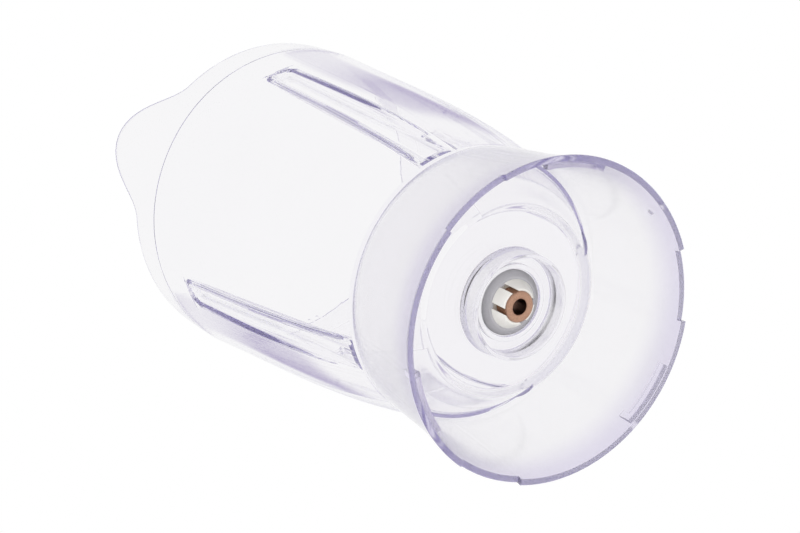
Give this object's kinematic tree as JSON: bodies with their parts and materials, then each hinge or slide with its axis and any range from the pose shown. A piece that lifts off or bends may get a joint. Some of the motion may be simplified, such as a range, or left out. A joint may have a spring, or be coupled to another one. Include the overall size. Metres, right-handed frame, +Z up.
{
  "type": "blender jar",
  "caption": "Clear plastic blender jar with a fluted barrel, pouring lip, bayonet base skirt and a bronze bearing for the knife shaft in its floor.",
  "frame": {"origin": "centre of the rim of the base skirt, in the plane that the jar stands on", "axes": "+Z up along the axis of the jar and its bearing, pouring lip towards -Y"},
  "size_m": [0.134, 0.149, 0.2095],
  "materials": {
    "clear_plastic": "clear glossy moulded plastic with a faint lavender tint",
    "white_plastic": "plain white moulded plastic",
    "bronze": "dull oiled sintered bronze",
    "grey_rubber": "smooth grey rubber",
    "dark_rubber": "black rubber"
  },
  "bodies": {
    "root": {"jar": "clear_plastic", "bearing_housing": "white_plastic", "bush": "bronze", "seal_ring": "grey_rubber", "shaft_seal": "dark_rubber"}
  },
  "joints": []
}
